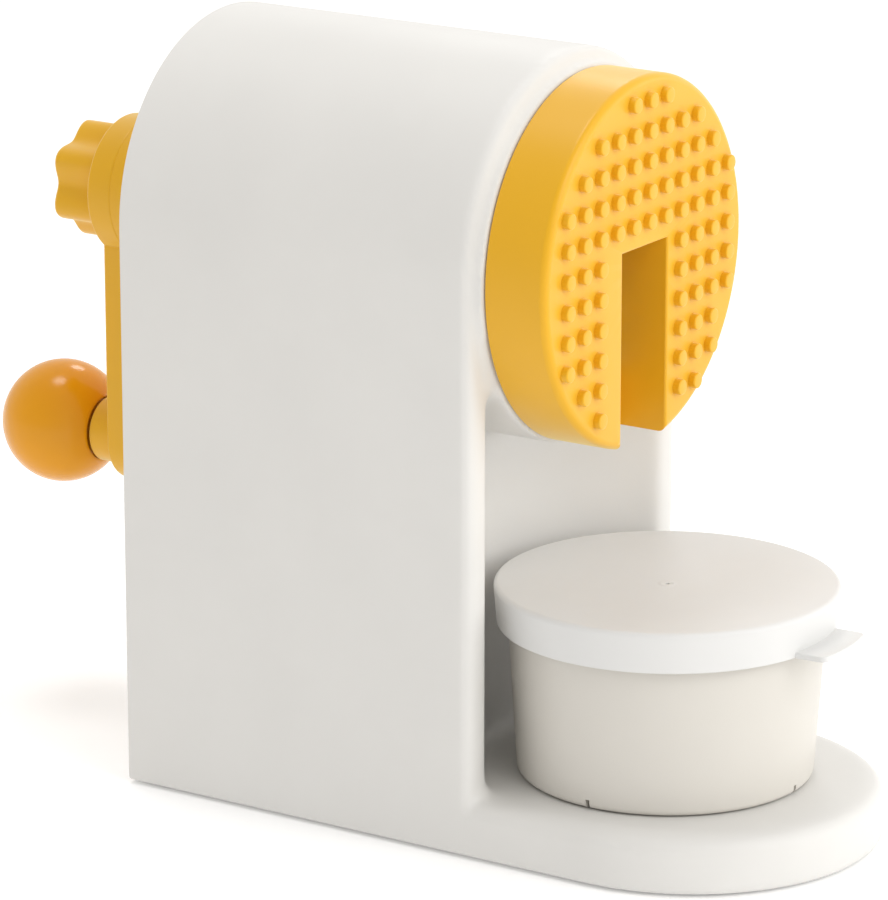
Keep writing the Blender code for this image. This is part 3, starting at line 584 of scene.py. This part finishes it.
def hollow_form():
    """The inside of the shell, open at the back and the bottom."""
    inner = arch_outline(WALL, foot=-2.0)
    column = lofted("hollow_form", [(FRONT_Y + WALL, inner), (BACK_Y + BACK_SPARE + 2.0, inner)])
    bay = rod("hollow_bay_form", BAY_RADIUS + WALL, -3.0, AXIS_Z, (0.0, BOWL_Y, 0.0), "Z")
    head = rod("hollow_head_form", HEAD_RADIUS - WALL, HEAD_FRONT + WALL, BACK_Y - 1.0)
    floor = base_outline(WALL + 0.05, BACK_Y + BACK_SPARE + 3.0)
    base = lofted("hollow_base_form", [(-3.0, floor), (BASE_TOP - WALL, floor)], axis="Z")
    return join(cut(column, bay), head, base)


def make_shell():
    shell = cut(housing_form(), bay_form())
    grid = shell.modifiers.new("grid", "REMESH")
    grid.mode = "VOXEL"
    grid.voxel_size = SKIN_STEP * MM
    settle(shell)
    relax(shell, bay_weight, EVEN_ROUNDS)
    behind = slab("behind_form", (-80.0, BACK_Y, -20.0), (80.0, BACK_Y + 30.0, 240.0))
    mouth = rod("mouth_form", MOUTH_RADIUS, HEAD_FRONT - 2.0, HEAD_FRONT + WALL + 2.0)
    cut(shell, behind, hollow_form(), mouth)
    stand_for(smooth(shell, 40.0), "housing_shell")


# Front cap


def chute_outline(spread=0.0):
    low = AXIS_Z - CAP_RADIUS - 10.0
    left, right = CHUTE_X[0] - spread, CHUTE_X[1] + spread
    return [(left, low), (right, low), (right, CHUTE_TOP + spread), (left, CHUTE_TOP + spread)]


def chute_form():
    """The chute's hollow, whose mouth opens out over the cap's face."""
    sections = [(CAP_FACE - 4.0, chute_outline(CHUTE_ROUND))]
    sections += [(y, chute_outline(inset)) for y, inset in rounded(CAP_FACE, CHUTE_ROUND, 5)]
    sections += [(CHUTE_BACK, chute_outline())]
    return lofted("chute_form", sections)


def peg_form(x, z):
    tip = CAP_FACE - PEG_HEIGHT
    profile = [(0, tip)]
    profile += [(PEG_RADIUS - inset, y) for y, inset in rounded(tip, PEG_ROUND, 4)]
    profile += [(PEG_RADIUS, CAP_FACE + 1.0), (0, CAP_FACE + 1.0)]
    return turned("peg", profile, (x, 0.0, z), "Y", 28)


def peg_places():
    for row, runs in enumerate(PEG_ROWS):
        for first, last in runs:
            for column in range(first, last + 1):
                x = column * PEG_PITCH + PEG_CENTRE[0]
                yield x, AXIS_Z + (5 - row) * PEG_PITCH + PEG_CENTRE[1]


def make_cap():
    """A hollow cap with a spigot behind it, whose face carries the pegs and the chute's mouth."""
    rear = CAP_REAR
    spigot = SPIGOT_RADIUS
    profile = [(0, CAP_FACE)]
    profile += [(CAP_RADIUS - inset, y) for y, inset in rounded(CAP_FACE, CAP_EDGE)]
    profile += [(CAP_RADIUS - inset, y) for y, inset in rounded(rear, -CAP_REAR_EDGE, 3)[::-1]]
    groove_start, groove_end = rear + SEAL_GROOVE[0], rear + SEAL_GROOVE[1]
    groove_floor = spigot - SEAL_GROOVE_DEPTH
    profile += [(spigot, rear), (spigot, groove_start), (groove_floor, groove_start)]
    profile += [(groove_floor, groove_end), (spigot, groove_end)]
    profile += [(spigot - inset, y) for y, inset in rounded(cap_high.y, -SPIGOT_EDGE, 3)[::-1]]
    profile += [(0, cap_high.y)]
    cap = turned("cap_form", profile, segments=200)
    pocket = rod("pocket_form", POCKET_RADIUS, CAP_FACE + CAP_WALL, cap_high.y + 1.0)
    ring = [(spigot + 3.0, CAP_FACE + CAP_WALL), (spigot + 3.0, rear + 1.0)]
    ring += [(CAP_RADIUS - CAP_WALL, rear + 1.0), (CAP_RADIUS - CAP_WALL, CAP_FACE + CAP_WALL)]
    groove = turned("groove_form", ring)
    keep_low = (CHUTE_X[0] - CHUTE_WALL, CAP_FACE - 2.0, AXIS_Z - CAP_RADIUS - 5.0)
    keep_high = (CHUTE_X[1] + CHUTE_WALL, CHUTE_BACK, CHUTE_TOP + CHUTE_WALL)
    cut(pocket, slab("keep_form", keep_low, keep_high))
    cut(groove, slab("keep_form", keep_low, (keep_high[0], rear + 4.0, keep_high[2])))
    through_low = (CHUTE_X[0], CHUTE_BACK - 1.0, PASSAGE_LOW)
    through = slab("through_form", through_low, (CHUTE_X[1], CHUTE_BACK + 1.0, CHUTE_TOP))
    cut(cap, pocket, groove)
    join(cap, merged("peg_forms", [peg_form(x, z) for x, z in peg_places()]))
    cut(cap, chute_form(), through)
    stand_for(smooth(cap), "front_cap")


# Bowl and lid


def make_bowl():
    bottom, rim = bowl_low.z, bowl_high.z
    at = (0.0, BOWL_Y, 0.0)
    under, floor = bottom + BOWL_FLOOR[0], bottom + BOWL_FLOOR[1]
    points = [(BOWL_FOOT, bottom), BOWL_NECK, (BOWL_NECK[0] + 0.35, rim - 2.6)]
    radii = [1.6, 0.0, 0.3]
    points += [(BOWL_RIM, rim - 2.0), (BOWL_RIM, rim), (BOWL_INNER[1], rim)]
    radii += [0.3, 0.6, 0.6]
    points += [(BOWL_INNER[0], BOWL_NECK[1]), (BOWL_FOOT - 1.7, floor + 0.4), (0, floor)]
    radii += [0.0, 2.4, 0.0]
    points += [(0, under), (BOWL_FOOT - 3.0, under), (BOWL_FOOT - 2.4, bottom)]
    radii += [0.0, 0.3, 0.4]
    bowl = turned("bowl_form", softened(points, radii), at, "Z", 200)
    cut(bowl, merged("notch_forms", [notch_form(90.0 * k) for k in range(4)]))
    stand_for(smooth(bowl), "bowl")


def notch_form(turn):
    """A cutter for a slit through the wall of the bowl's foot."""
    half, height = NOTCH
    spin = Matrix.Rotation(math.radians(turn), 2)
    outline = [(BOWL_FOOT - 5.0, -half), (BOWL_FOOT + 3.0, -half)]
    outline += [(BOWL_FOOT + 3.0, half), (BOWL_FOOT - 5.0, half)]
    outline = [tuple(spin @ Vector(point)) for point in outline]
    levels = [(bowl_low.z - 1.0, outline), (bowl_low.z + height, outline)]
    return lofted("notch", levels, (0.0, BOWL_Y, 0.0), "Z")


def tab_outline(inset):
    """A finger tab whose outer edge is an arc round the lid's axis."""
    half, reach, corner = TAB_WIDTH / 2 - inset, TAB_REACH - inset, TAB_CORNER - inset
    root = LID_BORE + 0.4
    across = half - corner
    ahead = math.sqrt((reach - corner) ** 2 - across**2)
    lean = math.degrees(math.atan2(across, ahead))
    points = [(-half, -math.sqrt(root**2 - half**2))]
    points += arc((-across, -ahead), corner, 180.0, 270.0 - lean, 6)
    points += arc((0.0, 0.0), reach, 270.0 - lean, 270.0 + lean, 16)[1:-1]
    points += arc((across, -ahead), corner, 270.0 + lean, 360.0, 6)
    points += [(half, -math.sqrt(root**2 - half**2)), (0.0, -root)]
    turn = Matrix.Rotation(math.radians(TAB_TURN), 2)
    return [tuple(turn @ Vector(point)) for point in points]


def lid_height(radius):
    """Height of the lid's top, which is dished very slightly."""
    return lid_high.z - LID_DISH * math.cos(math.pi / 2 * min(radius / DISH_RADIUS, 1.0)) ** 2


def make_lid():
    radius, top, low = lid_high.x, lid_high.z, lid_low.z
    at = (0.0, BOWL_Y, 0.0)
    middle = lid_height(0.0)
    ring_start, ring_end, ring_height = GATE_RING
    crest = middle + ring_height
    points = [(0, middle - 1.0), (GATE_RADIUS - 0.15, middle - 0.9), (GATE_RADIUS, middle)]
    points += [(ring_start, middle), (ring_start + 0.2, crest), (ring_end - 0.2, crest)]
    points += [(ring_end, middle)]
    points += [(r, lid_height(r)) for r in np.linspace(3.0, DISH_RADIUS, 20)]
    corners = [(radius, top), (radius - LID_TAPER, low), (LID_BORE, low)]
    corners += [(LID_BORE, top - 3.0), (0, top - 3.2)]
    points += softened(corners, [LID_ROUND, 0.35, 0.2, 0.6, 0.0], 8)
    lid = turned("lid_form", points, at, "Z", 200)
    levels = rounded(low + 0.02, 0.3, 4) + rounded(low + TAB_THICKNESS, -0.4, 4)[::-1]
    tab = lofted("tab_form", [(z, tab_outline(inset)) for z, inset in levels], at, "Z")
    join(lid, tab)
    stand_for(smooth(lid, 30.0), "bowl_lid")


# Crank


def crank_outline(inset=0.0):
    half = ARM_HALF_WIDTH - inset
    hub = HUB_RADIUS - inset
    hub_angle = math.degrees(math.acos(half / hub))
    top = arc((0.0, 0.0), hub, -hub_angle, 180.0 + hub_angle, 72)
    return top + arc((0.0, KNOB_Z - AXIS_Z), half, 180.0, 360.0, 48)


def double_d(radius, flat, steps=24):
    """A circle with its two sides at +x and -x cut flat."""
    open_angle = math.degrees(math.acos(flat / radius))
    upper = arc((0.0, 0.0), radius, open_angle, 180.0 - open_angle, steps)
    return upper + arc((0.0, 0.0), radius, 180.0 + open_angle, 360.0 - open_angle, steps)


def make_crank():
    """The arm with its hub, and the collar that carries the ball."""
    face = ARM_BACK - ARM_THICKNESS
    at = (0.0, 0.0, AXIS_Z)
    levels = rounded(face, ARM_ROUND, 6) + rounded(ARM_BACK, -ARM_ROUND, 6)[::-1]
    arm = lofted("arm_form", [(y, crank_outline(inset)) for y, inset in levels], at)
    hub_radius = HUB_RADIUS - HUB_STEP
    hub_start = [(hub_radius - inset, y) for y, inset in rounded(arm_low.y, ARM_ROUND, 4)]
    hub_profile = [(0, arm_low.y), *hub_start, (hub_radius, face + 2.0), (0, face + 2.0)]
    hub = turned("hub_form", hub_profile)
    edge = rounded(arm_high.y, -COLLAR_EDGE, 3)[::-1]
    collar_end = [(COLLAR_RADIUS - inset, y) for y, inset in edge]
    collar_foot = [(COLLAR_RADIUS + inset, y) for y, inset in rounded(ARM_BACK, COLLAR_FILLET, 5)]
    collar_profile = [(0, ARM_BACK - 2.0), (COLLAR_RADIUS + COLLAR_FILLET, ARM_BACK - 2.0)]
    collar_profile += [*collar_foot, *collar_end, (0, arm_high.y)]
    knob_at = (0.0, 0.0, KNOB_Z)
    collar = turned("collar_form", collar_profile, knob_at, segments=96)
    keyway = double_d(TUBE_RADIUS + GAP, TUBE_FLAT + GAP)
    bore = lofted("bore_form", [(arm_low.y - 1.0, keyway), (ARM_BACK + 1.0, keyway)], at)
    pin = rod("pin_form", PIN_HOLE, face + 2.0, arm_high.y + 1.0, knob_at, segments=48)
    join(arm, hub, collar)
    cut(arm, bore, pin)
    stand_for(smooth(arm), "crank_arm")


def star_outline(inset=0.0):
    middle = STAR_RADIUS - STAR_DEPTH / 2 - inset
    points = []
    count = STAR_LOBES * 24
    for k in range(count):
        turn = 2 * math.pi * k / count
        radius = middle + STAR_DEPTH / 2 * math.cos(STAR_LOBES * turn)
        points.append((radius * math.cos(turn + STAR_PHASE), radius * math.sin(turn + STAR_PHASE)))
    return points


def make_star():
    at = (0.0, 0.0, AXIS_Z)
    near, far = STAR_EDGES
    levels = rounded(star_low.y, near, 4) + rounded(star_high.y, -far, 8)[::-1]
    star = lofted("star_form", [(y, star_outline(inset)) for y, inset in levels], at)
    roof = star_high.y - STAR_BORE_ROOF
    bore = rod("bore_form", TUBE_RADIUS + GAP, star_low.y - 1.0, roof, segments=64)
    floor_radius, mouth_radius, depth = STAR_DISH
    dish = [(0, star_high.y - depth), (floor_radius, star_high.y - depth)]
    dish += [(mouth_radius, star_high.y + 0.3), (0, star_high.y + 0.3)]
    cut(star, bore, turned("dish_form", dish, segments=96))
    stand_for(smooth(star), "star_knob")


def make_ball():
    """The ball, with a seat for its spindle's head, and the plug that closes the seat."""
    middle = plug_high.y - BALL_RADIUS
    seat_y = middle + BALL_SEAT_Y
    recess_y = ball_low.y + BALL_RECESS
    at = (0.0, 0.0, KNOB_Z)
    first = math.acos((middle - ball_low.y) / BALL_RADIUS)
    last = math.pi - math.asin(BALL_SEAT / BALL_RADIUS)
    angles = [first + (last - first) * k / 48 for k in range(49)]
    profile = [(BALL_RADIUS * math.sin(a), middle - BALL_RADIUS * math.cos(a)) for a in angles]
    profile += [(BALL_SEAT, seat_y), (PIN_HOLE, seat_y), (PIN_HOLE, recess_y)]
    profile += [(BALL_RECESS_RADII[0], recess_y), (BALL_RECESS_RADII[1], ball_low.y)]
    ball = turned("ball_form", profile, at, "Y", 128)
    stand_for(smooth(ball), "ball_knob")
    radius = BALL_SEAT - GAP
    angles = [math.asin(radius * k / 8 / BALL_RADIUS) for k in range(8, -1, -1)]
    dome = [(BALL_RADIUS * math.sin(a), middle + BALL_RADIUS * math.cos(a)) for a in angles]
    plug = turned("plug_form", [(0, plug_low.y), (radius, plug_low.y), *dome], at, "Y", 64)
    stand_for(smooth(plug), "knob_plug")


# Covers, their screws and the feet


def seat_form(face, depth, through, at, axis):
    """A cutter for a screw: its head's seat, depth into the face, and a hole through the cover."""
    out = math.copysign(1.0, face - through)
    profile = [(0, through - out), (SHANK_HOLE, through - out), (SHANK_HOLE, face - depth * out)]
    profile += [(HEAD_SEAT, face - depth * out), (HEAD_SEAT, face - 0.3 * out)]
    profile += [(HEAD_SEAT + 0.3, face), (HEAD_SEAT + 0.3, face + out), (0, face + out)]
    return turned("seat", profile, at, axis, 48)


def make_back_cover():
    """The cover that closes the column, with the boss that carries the drive tube's bush."""
    end = cover_high.y
    face = BACK_Y - GAP
    inner = WALL + GAP
    edges = rounded(face - COVER, 0.3, 3) + rounded(face, -0.6, 5)[::-1]
    levels = [(y, arch_outline(inner + inset, cover_low.z)) for y, inset in edges]
    cover = lofted("cover_form", levels)
    boss_end = [(BEARING_RADIUS - inset, y) for y, inset in rounded(end, -BEARING_EDGE, 6)[::-1]]
    boss_foot = [(BEARING_RADIUS + inset, y) for y, inset in rounded(face, BEARING_FILLET, 6)]
    profile = [(0, cover_low.y), (BEARING_RADIUS, cover_low.y), (BEARING_RADIUS, face - 1.0)]
    profile += [(BEARING_RADIUS + BEARING_FILLET, face - 1.0), *boss_foot, *boss_end, (0, end)]
    join(cover, turned("bearing_form", profile))
    bore = [(0, cover_low.y - 1.0), (BEARING_BORE, cover_low.y - 1.0), (BEARING_BORE, end - 0.5)]
    bore += [(BEARING_BORE + 0.5, end), (BEARING_BORE + 0.5, end + 1.0), (0, end + 1.0)]
    inside = face - COVER
    seats = [seat_form(face, BACK_SEAT_DEPTH, inside, (x, 0.0, z), "Y") for x, z in BACK_SCREWS]
    cut(cover, turned("bearing_bore_form", bore), merged("seat_forms", seats))
    stand_for(smooth(cover), "back_cover")


def make_bottom_cover():
    """The cover under the base, with pockets for the feet."""
    low, high = floor_low.z, floor_high.z
    room = HALF_WIDTH - floor_high.x
    back = floor_high.y
    edges = rounded(low, 0.5, 4) + rounded(high, -0.3, 3)[::-1]
    levels = [(z, base_outline(room + inset, back - inset)) for z, inset in edges]
    cover = lofted("cover_form", levels, axis="Z")
    cutters = [seat_form(low, BOTTOM_SEAT_DEPTH, high, (x, y, 0.0), "Z") for x, y in BOTTOM_SCREWS]
    for node in FEET:
        foot_low, foot_high = span(node)
        radius = (foot_high - foot_low).x / 2 + GAP
        at = centre(node) * ON_TABLE
        cutters.append(rod("pocket", radius, low - 1.0, foot_high.z + GAP, at, "Z", 64))
    cut(cover, merged("cutter_forms", cutters))
    stand_for(smooth(cover), "bottom_cover")


def make_foot(node):
    """A rubber foot with a shallow hollow underneath."""
    low, high = span(node)
    radius = (high - low).x / 2
    points = [(0, low.z + 0.5), (radius - 2.4, low.z + 0.4), (radius - 1.9, low.z), (radius, low.z)]
    points += [(radius, high.z), (0, high.z)]
    profile = softened(points, [0.0, 0.2, 0.15, 0.4, 0.2, 0.0], 4)
    foot = turned("foot_form", profile, centre(node) * ON_TABLE, "Z", 64)
    stand_for(smooth(foot), node)


def make_screw(node, axis):
    """A pan head with a cross recess on a plain shank."""
    low, high = span(node)
    k = "XYZ".index(axis)
    outside, tip = (high[k], low[k]) if axis == "Y" else (low[k], high[k])
    out = math.copysign(1.0, outside - tip)
    at = centre(node)
    at[k] = 0.0
    under = outside - HEAD_THICKNESS * out
    head = [(SCREW_HEAD - inset, y) for y, inset in rounded(outside, -0.45 * out, 4)[::-1]]
    profile = [(0, tip), (SHANK / 2, tip), (SHANK, tip + 1.2 * out), (SHANK, under)]
    profile += [(SCREW_HEAD, under), *head, (0, outside)]
    screw = turned("screw_form", profile, at, axis, 48)
    long, short, depth = CROSS
    for u, v in ((long, short), (short, long)):
        outline = [(-u, -v), (u, -v), (u, v), (-u, v)]
        levels = [(outside - depth * out, outline), (outside + out, outline)]
        cut(screw, lofted("recess_form", levels, at, axis))
    stand_for(smooth(screw), node)


# Studio


def make_floor():
    bm = bmesh.new()
    bmesh.ops.create_grid(bm, x_segments=4, y_segments=4, size=FLOOR_HALF)
    floor = new_object("floor", bm)
    shader = Shader("floor_paper", 0.9)
    shader.colour(shader.noise(300.0, 2.0), (0.95, 0.95, 0.95), (0.97, 0.97, 0.97))
    shader.bump(shader.noise(1.5, 2.0), 0.02)
    shader.set("Emission Color", (1.0, 1.0, 1.0, 1.0))
    shader.set("Emission Strength", 0.14)
    floor.data.materials.append(shader.material)


def make_light(name, place, target, size, power, shape="RECTANGLE"):
    light = bpy.data.lights.new(name, "AREA")
    light.shape = shape
    light.size, light.size_y = size
    light.energy = power
    obj = bpy.data.objects.new(name, light)
    obj.location = place
    obj.rotation_mode = "QUATERNION"
    obj.rotation_quaternion = (Vector(target) - Vector(place)).to_track_quat("-Z", "Y")
    bpy.context.scene.collection.objects.link(obj)


def make_world():
    """A white backdrop for the camera, and a softer sky that lights the scene."""
    world = bpy.data.worlds.new("studio")
    bpy.context.scene.world = world
    world.use_nodes = True
    tree = world.node_tree
    seen = tree.nodes["Background"]
    seen.inputs["Color"].default_value = (1.0, 1.0, 1.0, 1.0)
    seen.inputs["Strength"].default_value = 1.0
    lighting = tree.nodes.new("ShaderNodeBackground")
    lighting.inputs["Color"].default_value = (1.0, 0.98, 0.955, 1.0)
    # The sky is dimmer at the upper left, which shades the arch
    place = tree.nodes.new("ShaderNodeTexCoord")
    towards = tree.nodes.new("ShaderNodeVectorMath")
    towards.operation = "DOT_PRODUCT"
    towards.inputs[1].default_value = (-0.807, 0.2, 0.555)
    dimming = tree.nodes.new("ShaderNodeMapRange")
    set_range(dimming, 0.35, 1.0, 0.92, 0.56)
    tree.links.new(place.outputs["Generated"], towards.inputs[0])
    tree.links.new(towards.outputs["Value"], dimming.inputs["Value"])
    tree.links.new(dimming.outputs["Result"], lighting.inputs["Strength"])
    path = tree.nodes.new("ShaderNodeLightPath")
    mix = tree.nodes.new("ShaderNodeMixShader")
    tree.links.new(path.outputs["Is Camera Ray"], mix.inputs["Fac"])
    tree.links.new(lighting.outputs["Background"], mix.inputs[1])
    tree.links.new(seen.outputs["Background"], mix.inputs[2])
    tree.links.new(mix.outputs["Shader"], tree.nodes["World Output"].inputs["Surface"])


def make_lights():
    middle = (0.0, 0.0, 0.1)
    knob = (0.0, 0.12, 0.08)
    make_light("key", (1.1, -0.95, 0.34), middle, (1.2, 0.56), 2.6)
    make_light("overhead", (-0.01, 0.26, 1.27), knob, (0.36, 0.36), 2.6, shape="DISK")
    make_light("overhead_right", (0.71, 0.37, 0.74), knob, (0.22, 0.22), 0.7, shape="DISK")
    make_light("front", (0.3, -1.6, 0.5), middle, (1.2, 0.9), 3.6)
    make_light("front_top", (-0.25, -1.25, 1.15), middle, (1.0, 0.8), 6.5)


def make_camera():
    data = bpy.data.cameras.new("camera")
    data.lens = 206.12
    data.clip_start, data.clip_end = 0.05, 50.0
    camera = bpy.data.objects.new("camera", data)
    camera.location = (-1.11430, -0.73579, 0.47486)
    camera.rotation_mode = "QUATERNION"
    forward = Vector((0.80474847, 0.52551541, -0.27606782))
    camera.rotation_quaternion = forward.to_track_quat("-Z", "Y")
    bpy.context.scene.collection.objects.link(camera)
    bpy.context.scene.camera = camera


for node, obj in frame["nodes"].items():
    finish(obj, node)
make_shell()
make_cap()
make_bowl()
make_lid()
make_crank()
make_star()
make_ball()
make_back_cover()
make_bottom_cover()
for node in FEET:
    make_foot(node)
for number in range(1, 5):
    make_screw(f"back_screw_{number}", "Y")
    make_screw(f"bottom_screw_{number}", "Z")
make_floor()
make_world()
make_lights()
make_camera()
bpy.context.scene.view_settings.view_transform = "Standard"
